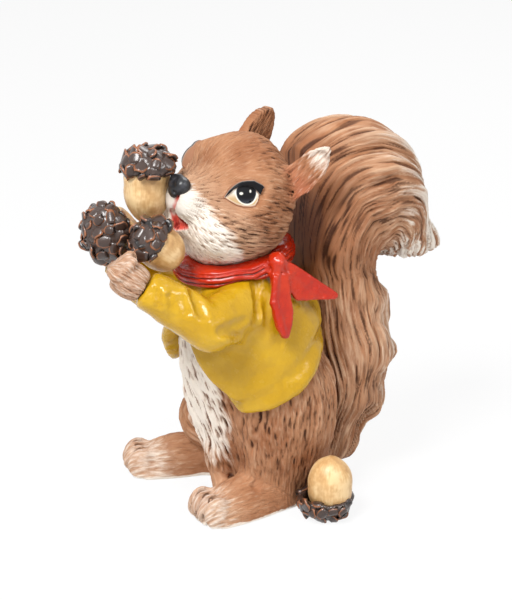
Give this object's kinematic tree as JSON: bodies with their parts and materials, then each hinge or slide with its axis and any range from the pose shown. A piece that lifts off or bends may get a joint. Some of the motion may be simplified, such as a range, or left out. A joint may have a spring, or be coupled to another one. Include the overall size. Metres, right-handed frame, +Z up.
{
  "type": "squirrel figurine",
  "caption": "Standing squirrel ornament in cast, hand-painted resin, with an upright bushy tail, a jacket, a knotted scarf and acorns held in its paws.",
  "frame": {"origin": "on the flat underside of the torso, in the plane that the figurine stands on", "axes": "+Z up, the animal faces -Y, and its left side is +X"},
  "size_m": [0.0611, 0.1046, 0.1],
  "materials": {
    "fur": "matt brown paint over tooled resin fur, with a dark wash in the grooves and pale dry-brushing",
    "eye": "gloss white with a black iris and lash line",
    "nose": "satin black",
    "jacket": "gloss mustard yellow with a brown wash in the folds",
    "scarf": "gloss red with a dark wash in the folds",
    "cup": "gloss dark brown scales with copper edges",
    "nut": "satin tan with streaks"
  },
  "bodies": {
    "root": {"torso": "fur", "left_haunch": "fur", "right_haunch": "fur", "left_foot": "fur", "right_foot": "fur", "tail": "fur", "head": "fur", "left_ear": "fur", "right_ear": "fur", "left_paw": "fur", "right_paw": "fur", "left_eye": "eye", "right_eye": "eye", "nose": "nose", "jacket": "jacket", "left_sleeve": "jacket", "right_sleeve": "jacket", "scarf_band": "scarf", "scarf_knot": "scarf", "scarf_hanging_end": "scarf", "scarf_flying_end": "scarf", "floor_acorn_nut": "nut", "floor_acorn_cup": "cup", "top_acorn_nut": "nut", "top_acorn_cup": "cup", "far_acorn_nut": "nut", "far_acorn_cup": "cup", "near_acorn_nut": "nut", "near_acorn_cup": "cup"}
  },
  "joints": []
}
